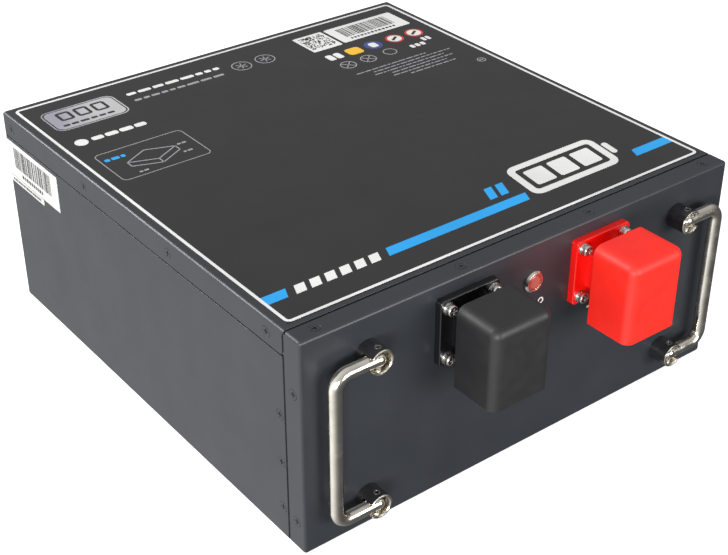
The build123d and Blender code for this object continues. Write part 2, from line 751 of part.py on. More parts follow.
SHEET_Z = BAR_Z + BAR_T + FIT
INSULATION_T = 1.0
INSULATION_W = 306.0
BOARD_Z = SHEET_Z + INSULATION_T
insulation_front = front_terminals_y + 10.0
insulation_rear = REAR_Y - SHEET - 12.0

with BuildPart() as insulating_sheet:
    with BuildSketch(Plane.XY.offset(SHEET_Z)):
        with Locations((0, (insulation_front + insulation_rear) / 2)):
            Rectangle(INSULATION_W, insulation_rear - insulation_front)
    extrude(amount=INSULATION_T)
save(insulating_sheet, "insulating_sheet")

BOARD_X = -70.0
BOARD_W = 150.0
BOARD_D = 96.0
BOARD_T = 1.6
BOARD_Y = insulation_front + 6.0 + BOARD_D / 2
CHIP_H = 3.0
# Connectors and shunts on the board: centre x, centre y, width and depth of each.
BOARD_PARTS = ((-50, 34, 26, 10), (0, 34, 14, 9), (48, 34, 22, 16), (-60, -38, 18, 14), (60, -38, 18, 14))

with BuildPart() as bms_board:
    with BuildSketch(Plane.XY.offset(BOARD_Z)):
        with Locations((BOARD_X, BOARD_Y)):
            RectangleRounded(BOARD_W, BOARD_D, 2.0)
    extrude(amount=BOARD_T)
    board_top = Plane((BOARD_X, BOARD_Y, BOARD_Z + BOARD_T))
    with BuildSketch(board_top):
        for dx, dy, width, depth in BOARD_PARTS:
            with Locations((dx, dy)):
                Rectangle(width, depth)
    extrude(amount=CHIP_H)
save(bms_board, "bms_board")

SINK = (96.0, 50.0)
SINK_BASE_H = 2.5
SINK_Z = BOARD_Z + BOARD_T + FIT
with BuildPart() as bms_heatsink:
    with BuildSketch(Plane.XY.offset(SINK_Z)):
        with Locations((BOARD_X, BOARD_Y - 4)):
            Rectangle(SINK[0], SINK[1])
    extrude(amount=SINK_BASE_H)
    with BuildSketch(Plane.XY.offset(SINK_Z + SINK_BASE_H)):
        with Locations((BOARD_X, BOARD_Y - 4)):
            with GridLocations(6.0, 0, 16, 1):
                Rectangle(1.4, SINK[1])
    extrude(amount=2 * SINK_BASE_H)
save(bms_heatsink, "bms_heatsink")

TAIL_Y = FRONT_Y + STUD_IN + FIT
LEAD_W = 20.0
LEAD_DROP = 9.0


def make_lead(x, top_z, end_y):
    """A bent copper strap from the stud's tail, up and back to end_y at the height top_z."""
    with BuildPart() as lead:
        with BuildSketch(Plane(origin=(x - LEAD_W / 2, 0, 0), x_dir=(0, 1, 0), z_dir=(1, 0, 0))):
            with BuildLine():
                Polyline(
                    (TAIL_Y, TERMINAL_Z - LEAD_DROP),
                    (TAIL_Y + STRAP_T, TERMINAL_Z - LEAD_DROP),
                    (TAIL_Y + STRAP_T, top_z),
                    (end_y, top_z),
                    (end_y, top_z + STRAP_T),
                    (TAIL_Y, top_z + STRAP_T),
                    close=True,
                )
            make_face()
        extrude(amount=LEAD_W)
        corner = lead.edges().filter_by(Axis.X).group_by(Axis.Y)[0].sort_by(Axis.Z)[-1]
        fillet(corner, radius=STRAP_T)
    return lead


positive_lead = make_lead(TERMINAL_X, BAR_Z + BAR_T, front_terminals_y + 6.0)
save(positive_lead, "positive_lead")
negative_lead = make_lead(-TERMINAL_X, BOARD_Z, BOARD_Y - BOARD_D / 2 - 1.0)
save(negative_lead, "negative_lead")

HARNESS_W = 8.0
HARNESS_T = 1.5
board_side = BOARD_X + BOARD_W / 2 + 2.0
harness_x = board_side + 12.0
harness_front = BOARD_Y + 34.0
harness_low = (harness_x - HARNESS_W / 2, harness_front, BOARD_Z)
harness_run = block(harness_low, (harness_x + HARNESS_W / 2, rear_terminals_y, BOARD_Z + HARNESS_T))
branch_high = (harness_x, harness_front + HARNESS_W, BOARD_Z + HARNESS_T)
harness_branch = block((board_side, harness_front, BOARD_Z), branch_high)
with BuildPart() as sense_harness:
    add(harness_run)
    add(harness_branch)
save(sense_harness, "sense_harness")

# ---------------------------------------------------------------- padding
PAD_TOP = CELL_BASE + 108.0
REAR_PAD_TOP = PAD_TOP - 4.0
PAD_GAP = 0.2
pack_edge_x = columns[-1] + CELL_W / 2
pad_rear_y = rows[1] + CELL_L / 2
pack_front_y = rows[0] - CELL_L / 2
pad_side_x = RAIL_X - SHEET - PAD_GAP
tub_floor = SHEET + 2 * FIT
pad_corners = (
    ((pack_edge_x + PAD_GAP, pack_front_y, CELL_BASE), (pad_side_x, pad_rear_y, PAD_TOP)),
    ((-pad_side_x, pack_front_y, CELL_BASE), (-pack_edge_x - PAD_GAP, pad_rear_y, PAD_TOP)),
    (
        (-pack_edge_x, pad_rear_y + PAD_GAP, CELL_BASE),
        (pack_edge_x, REAR_Y - SHEET - PAD_GAP, REAR_PAD_TOP),
    ),
    (
        (-pack_edge_x, FRAME_REAR + PAD_GAP, tub_floor),
        (pack_edge_x, pad_rear_y, CELL_BASE - FIT),
    ),
)
pad_blocks = [block(low, high) for low, high in pad_corners]
with BuildPart() as foam_pads:
    add(pad_blocks)
save(foam_pads, "foam_pads")
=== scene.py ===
import json
import math
import random

import bmesh
import bpy
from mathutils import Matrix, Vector


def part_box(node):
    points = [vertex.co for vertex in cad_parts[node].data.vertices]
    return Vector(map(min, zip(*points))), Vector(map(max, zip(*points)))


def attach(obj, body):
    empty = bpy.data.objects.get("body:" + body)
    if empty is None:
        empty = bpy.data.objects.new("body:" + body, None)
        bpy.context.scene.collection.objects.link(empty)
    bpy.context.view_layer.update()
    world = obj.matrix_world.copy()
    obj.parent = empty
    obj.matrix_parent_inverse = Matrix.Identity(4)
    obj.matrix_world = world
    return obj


# The looks of the deep cycle battery. Every CAD node keeps its shape and gets a procedural
# material, and the prints on the labels and the panel are thin pieces of their own.

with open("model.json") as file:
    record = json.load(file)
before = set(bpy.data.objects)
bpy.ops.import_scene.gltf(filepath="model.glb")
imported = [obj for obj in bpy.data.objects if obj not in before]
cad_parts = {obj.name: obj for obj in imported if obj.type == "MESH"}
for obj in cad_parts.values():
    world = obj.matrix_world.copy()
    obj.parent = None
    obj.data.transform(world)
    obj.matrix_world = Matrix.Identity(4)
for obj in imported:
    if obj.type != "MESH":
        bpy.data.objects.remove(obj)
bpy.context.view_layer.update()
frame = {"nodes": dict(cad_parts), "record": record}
NODES = frame["nodes"]
MM = 0.001

# ---------------------------------------------------------------- places read from the frame
LABEL_LOW, LABEL_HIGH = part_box("top_label")
STICKER_LOW, STICKER_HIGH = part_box("side_labels")
FRONT_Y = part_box("front_panel")[0].y
BUTTON_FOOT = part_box("button_body")[0].z
RIGHT, BACK, UP = Vector((1, 0, 0)), Vector((0, 1, 0)), Vector((0, 0, 1))


def centre_of(node):
    low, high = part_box(node)
    return (low + high) / 2


def radius_of(node):
    low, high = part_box(node)
    return (high.z - low.z) / 2


# ---------------------------------------------------------------- materials
# The sockets of a colour mix node that hold its factor, its two colours and its result.
MIX_INPUTS = (0, 6, 7)
MIX_RESULT = 2
# Noise keeps mostly between these two values, so they are stretched to the whole range.
NOISE_SPAN = (0.3, 0.7)
BEVEL_SAMPLES = 6
# How far the painted highlight along edges reaches onto a face, and how fine its breaks are.
EDGE_HIGHLIGHT_REACH = 0.25
EDGE_HIGHLIGHT_BREAKS = 160


class Look:
    """A principled shader with a few procedural nodes in front of it, all in object space."""

    def __init__(self, name, color, roughness, metallic=0.0, specular=0.5):
        self.color = color
        self.material = bpy.data.materials.new(name)
        self.material.use_nodes = True
        self.tree = self.material.node_tree
        self.shader = self.tree.nodes["Principled BSDF"]
        self.shader.inputs["Base Color"].default_value = (*color, 1)
        self.shader.inputs["Roughness"].default_value = roughness
        self.shader.inputs["Metallic"].default_value = metallic
        self.shader.inputs["Specular IOR Level"].default_value = specular
        self.place = self.node("ShaderNodeTexCoord").outputs["Object"]
        self.tint = None
        self.normal = None

    def node(self, kind, **settings):
        made = self.tree.nodes.new(kind)
        for key, value in settings.items():
            setattr(made, key, value)
        return made

    def plug(self, socket, value):
        """Links a socket, or sets it; a colour gets its alpha."""
        if isinstance(value, bpy.types.NodeSocket):
            self.tree.links.new(value, socket)
        elif socket.type == "RGBA":
            socket.default_value = (*value, 1)
        else:
            socket.default_value = value

    def feed(self, made, **inputs):
        for key, value in inputs.items():
            self.plug(made.inputs[key.replace("_", " ")], value)
        return made

    def noise(self, scale, detail=2.0, stretch=(1, 1, 1)):
        mapped = self.feed(self.node("ShaderNodeMapping"), Vector=self.place, Scale=stretch)
        made = self.node("ShaderNodeTexNoise")
        self.feed(made, Vector=mapped.outputs["Vector"], Scale=scale, Detail=detail)
        return made.outputs["Fac"]

    def span(self, value, start, end, low, high):
        made = self.node("ShaderNodeMapRange")
        self.feed(made, Value=value, From_Min=start, From_Max=end, To_Min=low, To_Max=high)
        return made.outputs["Result"]

    def sum(self, operation, first, second):
        made = self.node("ShaderNodeMath", operation=operation)
        for socket, value in zip(made.inputs, (first, second)):
            self.plug(socket, value)
        return made.outputs["Value"]

    def axis(self, name):
        made = self.feed(self.node("ShaderNodeSeparateXYZ"), Vector=self.place)
        return made.outputs[name]

    def square_from(self, middle):
        """Square of the distance from the line through middle that runs along Y."""
        dx = self.sum("SUBTRACT", self.axis("X"), middle.x)
        dz = self.sum("SUBTRACT", self.axis("Z"), middle.z)
        return self.sum("ADD", self.sum("MULTIPLY", dx, dx), self.sum("MULTIPLY", dz, dz))

    def mix(self, factor, first, second):
        made = self.node("ShaderNodeMix", data_type="RGBA")
        for number, value in zip(MIX_INPUTS, (factor, first, second)):
            self.plug(made.inputs[number], value)
        return made.outputs[MIX_RESULT]

    def paint(self, value, socket="Base Color"):
        self.tree.links.new(value, self.shader.inputs[socket])
        if socket == "Base Color":
            self.tint = value

    def clouds(self, spread, scale, detail=3.0):
        """Slow variation of the colour, darker and lighter by the share named in spread."""
        cloud = self.span(self.noise(scale, detail), *NOISE_SPAN, 0.0, 1.0)
        dark = tuple(c * (1 - spread) for c in self.color)
        light = tuple(min(1.0, c * (1 + spread)) for c in self.color)
        self.paint(self.mix(cloud, dark, light))
        return self

    def polish(self, low, high, scale, detail=3.0):
        """Roughness that varies between low and high."""
        self.paint(self.span(self.noise(scale, detail), *NOISE_SPAN, low, high), "Roughness")
        return self

    def edges(self, radius_mm, color=None, amount=1.0):
        """Softened edges, and where a colour is given, that colour painted along them in broken
        patches as a painted highlight.
        """
        bevel = self.feed(self.node("ShaderNodeBevel", samples=BEVEL_SAMPLES), Radius=radius_mm * MM)
        self.normal = bevel.outputs["Normal"]
        if color is None:
            return self
        geometry = self.node("ShaderNodeNewGeometry")
        dot = self.node("ShaderNodeVectorMath", operation="DOT_PRODUCT")
        self.tree.links.new(bevel.outputs["Normal"], dot.inputs[0])
        self.tree.links.new(geometry.outputs["Normal"], dot.inputs[1])
        # Share of the painted edge highlight, strongest where the bend is sharpest.
        edge_highlight = self.span(dot.outputs["Value"], 1.0, 1.0 - EDGE_HIGHLIGHT_REACH, 0.0, amount)
        broken = self.span(self.noise(EDGE_HIGHLIGHT_BREAKS, 4.0), 0.35, 0.65, 0.25, 1.0)
        base = self.tint if self.tint is not None else self.color
        self.paint(self.mix(self.sum("MULTIPLY", edge_highlight, broken), base, color))
        return self

    def grain(self, scale, strength, depth_mm, stretch=(1, 1, 1)):
        """Fine relief; several calls lie one over another."""
        made = self.node("ShaderNodeBump")
        height = self.noise(scale, stretch=stretch)
        self.feed(made, Height=height, Strength=strength, Distance=depth_mm * MM)
        if self.normal is not None:
            self.tree.links.new(self.normal, made.inputs["Normal"])
        self.normal = made.outputs["Normal"]
        return self

    def coat(self, weight, roughness):
        self.shader.inputs["Coat Weight"].default_value = weight
        self.shader.inputs["Coat Roughness"].default_value = roughness
        return self

    def made(self):
        if self.normal is not None:
            self.tree.links.new(self.normal, self.shader.inputs["Normal"])
        return self.material


def powder_coat():
    """Dark anthracite powder coat: fine orange peel, faint clouds, and a painted highlight that makes
    it paler along its bends.
    """
    look = Look("powder_coat", (0.021, 0.024, 0.029), 0.40, specular=0.6)
    look.clouds(0.06, 14, 4.0).polish(0.36, 0.45, 30)
    look.edges(0.5, (0.07, 0.075, 0.083), 0.6)
    return look.grain(950, 0.35, 0.05).grain(2600, 0.25, 0.03).made()


def printed_film(name, color, roughness):
    """A printed plastic film with a slight waviness from the sheet metal under it."""
    look = Look(name, color, roughness)
    look.clouds(0.08, 22).polish(roughness - 0.05, roughness + 0.06, 35)
    return look.grain(60, 0.12, 0.10).grain(1800, 0.12, 0.02).made()


def soft_cap(name, color, edge_highlight_color, roughness):
    """Dipped soft plastic: satin, a little uneven, with a painted highlight that makes it paler along
    its edges.
    """
    look = Look(name, color, roughness, specular=0.55)
    look.clouds(0.07, 40, 4.0).polish(roughness - 0.06, roughness + 0.07, 90)
    look.edges(0.6, edge_highlight_color, 0.35)
    return look.grain(1300, 0.22, 0.04).grain(120, 0.10, 0.10).made()


def moulded(name, color, roughness):
    """Hard glossy moulding."""
    look = Look(name, color, roughness, specular=0.55)
    look.clouds(0.06, 60).polish(roughness - 0.05, roughness + 0.07, 120)
    return look.edges(0.3).grain(700, 0.10, 0.03).coat(0.35, 0.12).made()


def polished_nickel():
    """Bright nickel with a warm tint, fine drawing marks and faint clouding."""
    look = Look("polished_nickel", (0.72, 0.685, 0.61), 0.16, metallic=1.0)
    look.clouds(0.12, 70, 4.0).polish(0.13, 0.30, 160, 5.0)
    return look.grain(500, 0.10, 0.02, stretch=(1, 1, 0.08)).grain(110, 0.10, 0.06).made()


def bright_steel(name, color, roughness):
    """Bare or plated metal with a fine brushed unevenness."""
    look = Look(name, color, roughness, metallic=1.0)
    look.clouds(0.12, 300).polish(roughness - 0.08, roughness + 0.1, 500)
    return look.edges(0.2).grain(1600, 0.12, 0.02).made()


def black_oxide():
    """Blackened screws, a little paler on their edges."""
    look = Look("black_screws", (0.024, 0.026, 0.030), 0.36)
    look.clouds(0.25, 300).polish(0.28, 0.46, 400)
    return look.edges(0.15, (0.10, 0.10, 0.105), 0.5).grain(2200, 0.2, 0.02).made()


POST_SKIN = 0.12 * MM
POST_PLAIN = 3 * MM


def turned_post(node):
    """Black outside, and bare nickel in the cup, in the slot and on the bevelled rim."""
    look = Look(f"{node}_finish", (0.016, 0.016, 0.018), 0.34)
    square = look.square_from(centre_of(node))
    inside = look.sum("LESS_THAN", square, (radius_of(node) - POST_SKIN) ** 2)
    in_front = look.sum("LESS_THAN", look.axis("Y"), FRONT_Y - POST_PLAIN)
    bare = look.sum("MULTIPLY", inside, in_front)
    cloud = look.span(look.noise(200, 3.0), *NOISE_SPAN, 0.0, 1.0)
    black = look.mix(cloud, (0.013, 0.013, 0.015), (0.020, 0.020, 0.023))
    nickel = look.mix(cloud, (0.60, 0.56, 0.48), (0.78, 0.74, 0.66))
    look.paint(look.mix(bare, black, nickel))
    look.paint(bare, "Metallic")
    look.paint(look.span(cloud, 0.0, 1.0, 0.20, 0.34), "Roughness")
    return look.edges(0.2).grain(900, 0.15, 0.02).made()


def plain_inside(name, color, roughness, metallic=0.0, grain=900):
    """Pieces that the closed case hides: quiet, but never one flat colour."""
    look = Look(name, color, roughness, metallic)
    look.clouds(0.08, 60).polish(roughness - 0.06, roughness + 0.08, 120)
    return look.grain(grain, 0.2, 0.03).made()


def galvanised():
    """Zinc coating with its large crystals."""
    look = Look("galvanised_steel", (0.52, 0.53, 0.54), 0.4, metallic=0.9)
    crystals = look.feed(look.node("ShaderNodeTexVoronoi"), Vector=look.place, Scale=110.0)
    tone = look.span(crystals.outputs["Distance"], 0.0, 0.8, 0.0, 1.0)
    look.paint(look.mix(tone, (0.62, 0.63, 0.64), (0.42, 0.43, 0.45)))
    look.paint(look.span(tone, 0.0, 1.0, 0.3, 0.5), "Roughness")
    return look.grain(700, 0.2, 0.02).made()


def printed_board():
    """Green solder mask with lighter tracks."""
    look = Look("circuit_board", (0.02, 0.16, 0.06), 0.3)
    waves = look.node("ShaderNodeTexWave", bands_direction="X")
    look.feed(waves, Vector=look.place, Scale=260.0, Distortion=2.0, Detail=1.0)
    tracks = look.sum("GREATER_THAN", waves.outputs["Fac"], 0.72)
    look.paint(look.mix(tracks, (0.015, 0.13, 0.05), (0.05, 0.26, 0.11)))
    return look.grain(900, 0.2, 0.02).coat(0.3, 0.2).made()


RIM_START, RIM_END = 0.66, 0.9
LENS_MILK = 0.15
LENS_DEPTH = 1.5 * MM


def lens():
    """Translucent red button: deeper red towards its rim, and slightly milky in the middle."""
    look = Look("button_lens", (0.46, 0.12, 0.095), 0.28, specular=0.6)
    square = look.square_from(centre_of("button_cap"))
    radius = radius_of("button_cap")
    rim = look.span(square, (RIM_START * radius) ** 2, (RIM_END * radius) ** 2, 0.0, 1.0)
    look.paint(look.mix(rim, (0.42, 0.115, 0.09), (0.62, 0.07, 0.045)))
    look.shader.inputs["Subsurface Weight"].default_value = LENS_MILK
    look.shader.inputs["Subsurface Scale"].default_value = LENS_DEPTH
    return look.grain(1500, 0.1, 0.02).coat(0.4, 0.1).made()


LOOKS = {
    "powder_coat": powder_coat(),
    "galvanised_steel": galvanised(),
    "black_screws": black_oxide(),
    "label_print": printed_film("label_film", (0.017, 0.016, 0.017), 0.33),
    "sticker": printed_film("sticker_paper", (0.62, 0.62, 0.61), 0.42),
    "nickel_bar": polished_nickel(),
    "pin_steel": bright_steel("pin_steel", (0.62, 0.60, 0.56), 0.26),
    "zinc_hardware": bright_steel("zinc_hardware", (0.70, 0.68, 0.65), 0.24),
    "base_black": moulded("base_black", (0.006, 0.006, 0.007), 0.20),
    "base_red": moulded("base_red", (0.95, 0.006, 0.003), 0.22),
    "plated_brass": bright_steel("plated_brass", (0.76, 0.66, 0.44), 0.28),
    # The third colour of each hood is the painted highlight along its edges.
    "hood_black": soft_cap("hood_black", (0.010, 0.010, 0.011), (0.20, 0.20, 0.205), 0.52),
    "hood_red": soft_cap("hood_red", (0.90, 0.013, 0.004), (1.0, 0.17, 0.11), 0.52),
    "seal_rubber": plain_inside("seal_rubber", (0.02, 0.02, 0.02), 0.6),
    "bezel_nickel": bright_steel("bezel_nickel", (0.76, 0.71, 0.65), 0.18),
    "button_lens": lens(),
    "spring_steel": bright_steel("spring_steel", (0.6, 0.6, 0.6), 0.25),
    "cell_can": plain_inside("cell_wrap", (0.04, 0.13, 0.34), 0.32),
    "spacer_board": plain_inside("spacer_board", (0.72, 0.68, 0.55), 0.6),
    "bus_copper": plain_inside("bus_copper", (0.74, 0.36, 0.22), 0.3, metallic=1.0),
    "insulation": plain_inside("insulation", (0.05, 0.05, 0.055), 0.45),
    "circuit_board": printed_board(),
    "heatsink": plain_inside("heatsink", (0.68, 0.69, 0.71), 0.35, metallic=1.0),
    "harness_film": plain_inside("harness_film", (0.55, 0.28, 0.04), 0.35),
    "foam": plain_inside("foam", (0.05, 0.05, 0.052), 0.85, grain=400),
}

SLOT_OF = {row["node"]: row["material_slot"] for row in frame["record"]["subparts"]}


def dress(node, material):
    """Gives a CAD node its material, in the slots that it has."""
    piece = NODES[node]
    if not piece.material_slots:
        piece.data.materials.append(material)
    for slot in piece.material_slots:
        slot.material = material


for node in NODES:
    if SLOT_OF[node] == "post_black":
        dress(node, turned_post(node))
    else:
        dress(node, LOOKS[SLOT_OF[node]])


# ---------------------------------------------------------------- prints
PRINT_SINK = 0.03
PRINT_RISE = 0.05
SECOND_LAYER = PRINT_RISE + 0.02
THIRD_LAYER = PRINT_RISE + 0.03
BADGE_LAYER = PRINT_RISE + 0.04
CORNER_STEPS = 5
CIRCLE_STEPS = 32
LEAST_ROUND = 0.05
DASH_ROUND = 0.35


class Prints:
    """Closed thin slabs of one colour on a flat face. Positions are in mm from its low corner."""

    def __init__(self, name, origin, across, up, rise=PRINT_RISE):
        self.name = name
        self.origin = origin
        self.across = across
        self.up = up
        self.out = across.cross(up)
        self.rise = rise
        self.mesh = bmesh.new()

    def point(self, u, v, w):
        return self.origin + (self.across * u + self.up * v + self.out * w) * MM

    def ring_of(self, outline, w):
        return [self.mesh.verts.new(self.point(u, v, w)) for u, v in outline]

    def wall(self, low, high):
        count = len(low)
        for i in range(count):
            j = (i + 1) % count
            self.mesh.faces.new((low[i], low[j], high[j], high[i]))

    def fill(self, outline):
        """A slab inside one outline, counter-clockwise."""
        low = self.ring_of(outline, -PRINT_SINK)
        high = self.ring_of(outline, self.rise)
        self.wall(low, high)
        self.mesh.faces.new(high)
        self.mesh.faces.new(list(reversed(low)))

    def block(self, low, high):
        self.fill([low, (high[0], low[1]), high, (low[0], high[1])])

    def band(self, outer, inner):
        """A slab between two outlines with the same number of points."""
        outer_low, outer_high = self.ring_of(outer, -PRINT_SINK), self.ring_of(outer, self.rise)
        inner_low, inner_high = self.ring_of(inner, -PRINT_SINK), self.ring_of(inner, self.rise)
        self.wall(outer_low, outer_high)
        self.wall(inner_high, inner_low)
        self.wall(outer_high, inner_high)
        self.wall(inner_low, outer_low)

    def frame_line(self, low, high, radius, width):
        inner = rounded(inset(low, width), inset(high, -width), radius - width)
        self.band(rounded(low, high, radius), inner)

    def circle_line(self, centre, radius, width):
        self.band(disc(centre, radius), disc(centre, radius - width))

    def stroke(self, start, end, width):
        """A straight line with square ends."""
        (u0, v0), (u1, v1) = start, end
        length = math.hypot(u1 - u0, v1 - v0)
        du = -(v1 - v0) / length * width / 2
        dv = (u1 - u0) / length * width / 2
        self.fill([(u0 - du, v0 - dv), (u1 - du, v1 - dv), (u1 + du, v1 + dv), (u0 + du, v0 + dv)])

    def dashes(self, corner, widths, height, gap):
        """A row of short rounded bars."""
        u, v = corner
        for width in widths:
            self.fill(rounded((u, v), (u + width, v + height), min(width, height) * DASH_ROUND))
            u += width + gap

    def blank_words(self, corner, seed, length, widths, height, gap):
        """A row of bars that stands for a line of print."""
        self.dashes(corner, words(seed, length, *widths, gap), height, gap)

    def done(self, material, body="case"):
        data = bpy.data.meshes.new(self.name)
        self.mesh.normal_update()
        self.mesh.to_mesh(data)
        self.mesh.free()
        piece = bpy.data.objects.new(self.name, data)
        bpy.context.scene.collection.objects.link(piece)
        data.materials.append(material)
        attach(piece, body)


def moved(point, du, dv):
    return (point[0] + du, point[1] + dv)


def inset(corner, amount):
    return moved(corner, amount, amount)


def rounded(low, high, radius):
    """Counter-clockwise outline of a rectangle with round corners."""
    radius = max(radius, LEAST_ROUND)
    points = []
    centres = (
        (high[0] - radius, low[1] + radius, -90),
        (high[0] - radius, high[1] - radius, 0),
        (low[0] + radius, high[1] - radius, 90),
        (low[0] + radius, low[1] + radius, 180),
    )
    for cu, cv, start in centres:
        for step in range(CORNER_STEPS + 1):
            angle = math.radians(start + 90 * step / CORNER_STEPS)
            points.append((cu + radius * math.cos(angle), cv + radius * math.sin(angle)))
    return points


def disc(centre, radius):
    turns = [2 * math.pi * i / CIRCLE_STEPS for i in range(CIRCLE_STEPS)]
    return [moved(centre, radius * math.cos(turn), radius * math.sin(turn)) for turn in turns]


def slanted(u0, u1, v0, v1, lean_start, lean_end):
    return [(u0, v0), (u1, v0), (u1 + lean_end, v1), (u0 + lean_start, v1)]


def words(seed, total, shortest, longest, gap):
    """Widths of dashes that fill a line of the given length."""
    chooser = random.Random(seed)
    widths, used = [], 0.0
    while used < total:
        width = chooser.uniform(shortest, longest)
        widths.append(min(width, max(shortest, total - used)))
        used += width + gap
    return widths


INK_WHITE = printed_film("ink_white", (0.78, 0.78, 0.77), 0.36)
INK_BLUE = printed_film("ink_blue", (0.012, 0.36, 0.83), 0.34)
INK_GREY = printed_film("ink_grey", (0.33, 0.33, 0.35), 0.4)
INK_BLACK = printed_film("ink_black", (0.02, 0.02, 0.022), 0.42)
INK_RED = printed_film("ink_red", (0.62, 0.04, 0.03), 0.38)
INK_AMBER = printed_film("ink_amber", (0.85, 0.50, 0.03), 0.38)
INK_NAVY = printed_film("ink_navy", (0.05, 0.07, 0.28), 0.38)

# ---------------------------------------------------------------- layout of the top label
# Places are in mm across and back from the label's low corner.
TOP = Vector((LABEL_LOW.x, LABEL_LOW.y, LABEL_HIGH.z))
LABEL_W = (LABEL_HIGH.x - LABEL_LOW.x) / MM
LABEL_D = (LABEL_HIGH.y - LABEL_LOW.y) / MM

BORDER_INSET = 0.3
BORDER_W = 2.0
BORDER_ROUND = 3.8

STRIPE_END = BORDER_W + 0.4
STRIPE_V = (20.6, 28.6)
STRIPE_LEAN = 3.4
STRIPE_RUNS = (
    (STRIPE_END, 15.2, 0.0, STRIPE_LEAN),
    (84.5, 191.8, STRIPE_LEAN, STRIPE_LEAN),
    (284.3, LABEL_W - STRIPE_END, STRIPE_LEAN, 0.0),
)
TWIN_U = (172.5, 181.5)
TWIN_V = (34.2, 46.6)
TWIN_W = 6.0
TWIN_LEAN = 5.2

SLANTS = 6
SLANT_U = 20.6
SLANT_V = (20.2, 28.0)
SLANT_PITCH = 10.2
SLANT_W = 6.8
SLANT_LEAN = 3.2

GAUGE_LOW = (198.0, 21.2)
GAUGE_HIGH = (272.0, 57.6)
GAUGE_LEAN = 5.5
GAUGE_LINE = 5.2
GAUGE_ROUND = (7.0, 2.6)
POLE_GAP = 1.6
POLE_W = 4.6
POLE_INSET = 11.0
POLE_ROUND = 2.0
CHARGE_BARS = 3
CHARGE_GAP = 4.0
CHARGE_ROUND = 1.6

BADGE_LOW, BADGE_HIGH = (10.0, 273.0), (64.5, 305.0)
BADGE_ROUND = (6.5, 5.0)
BADGE_LINE = 0.9
BADGE_GROOVE = 1.0
BADGE_CELLS = 3
BADGE_CELL = (10.5, 13.0)
BADGE_CELL_LOW = (19.0, 286.5)
BADGE_CELL_PITCH = 13.0

RED_SIGNS = ((281.2, 262.6), (299.7, 262.6))
RED_SIGN_R = 7.1
WHITE_DISC_R = 6.6
STAR_SIGNS = ((163.2, 290.0), (183.4, 290.2))
STAR_SIGN_R = 7.6
STAR_ARM = 4.6
CROSS_SIGNS = ((225.0, 245.0), (243.2, 245.2))
CROSS_SIGN_R = 6.2
CROSS_ARM = 3.8
RING_SIGN, RING_SIGN_R = (263.4, 245.6), 5.4
SMALL_SIGN, SMALL_SIGN_R = (306.8, 194.0), 3.4
NAVY_SIGN, NAVY_SIGN_R = (261.1, 262.6), 7.0
NOTE_DOT, NOTE_DOT_R = (14.6, 251.6), 4.6
FINE_LINE = 0.8
SMALL_LINES = 6

CELL_CODE_LOW, CELL_CODE_HIGH = (218.5, 277.5), (244.5, 306.5)
BAR_CODE_LOW, BAR_CODE_HIGH = (247.0, 278.5), (309.5, 306.5)
CODE_ROUND = (1.2, 1.6)
CODE_CELLS = 20
CODE_CELL = 1.1
CODE_DOT = CODE_CELL * 0.96
CODE_SHARE = 0.47
CODE_CORNER = (220.6, 281.6)
BARS_U = (255.0, 301.0)
BARS_V = (286.4, 302.6)

DRAWING_LOW, DRAWING_HIGH = (10.5, 188.5), (74.5, 229.5)
DRAWING_ROUND = 4.0
DRAWING_LINE = 0.6
DRAWN_LEFT, DRAWN_RIGHT = (24.0, 203.0), (43.0, 196.0)
DRAWN_RISE = (0.0, 6.0)
DRAWN_RUN = (17.0, 9.0)


def stripe_prints():
    """The broken blue stripe along the front of the top label."""
    prints = Prints("label_stripes", TOP, RIGHT, BACK)
    for start, end, lean_start, lean_end in STRIPE_RUNS:
        prints.fill(slanted(start, end, *STRIPE_V, lean_start, lean_end))
    for u in TWIN_U:
        prints.fill(slanted(u, u + TWIN_W, *TWIN_V, TWIN_LEAN, TWIN_LEAN))
    prints.dashes((13.6, 217.4), (3.6, 5.6, 3.0), height=3.4, gap=1.2)
    prints.done(INK_BLUE)


def white_prints():
    """Border, slanted dashes in the stripe's gap, cell gauge, notes and code labels."""
    prints = Prints("label_white_print", TOP, RIGHT, BACK)
    corner = (LABEL_W - BORDER_INSET, LABEL_D - BORDER_INSET)
    prints.frame_line((BORDER_INSET, BORDER_INSET), corner, BORDER_ROUND, BORDER_W)
    for index in range(SLANTS):
        u = SLANT_U + index * SLANT_PITCH
        prints.fill(slanted(u, u + SLANT_W, *SLANT_V, SLANT_LEAN, SLANT_LEAN))
    cell_gauge(prints)
    # the larger line of notes beside the badge
    prints.blank_words((73.5, 295.2), seed=3, length=70, widths=(5, 14), height=3.6, gap=1.8)
    # round mark above the outlined drawing, and its line of print
    prints.fill(disc(NOTE_DOT, NOTE_DOT_R))
    prints.blank_words((22.2, 249.2), seed=5, length=40, widths=(4, 11), height=5.0, gap=1.5)
    # grounds of the two code labels in the rear right corner
    prints.fill(rounded(CELL_CODE_LOW, CELL_CODE_HIGH, CODE_ROUND[0]))
    prints.fill(rounded(BAR_CODE_LOW, BAR_CODE_HIGH, CODE_ROUND[1]))
    # coarse icons
    prints.dashes((219.4, 257.8), (5.4, 5.4), height=9.6, gap=1.6)
    prints.dashes((281.0, 240.5), (3.4, 3.4, 3.4), height=5.2, gap=1.4)
    prints.dashes((296.5, 246.0), (3.0, 3.0), height=6.0, gap=1.2)
    for centre in RED_SIGNS:
        prints.fill(disc(centre, WHITE_DISC_R))
    prints.done(INK_WHITE)


def lean(outline):
    """Slants an outline of the gauge towards the right with its height above the gauge's foot."""
    slope = GAUGE_LEAN / (GAUGE_HIGH[1] - GAUGE_LOW[1])
    return [(u + slope * (v - GAUGE_LOW[1]), v) for u, v in outline]


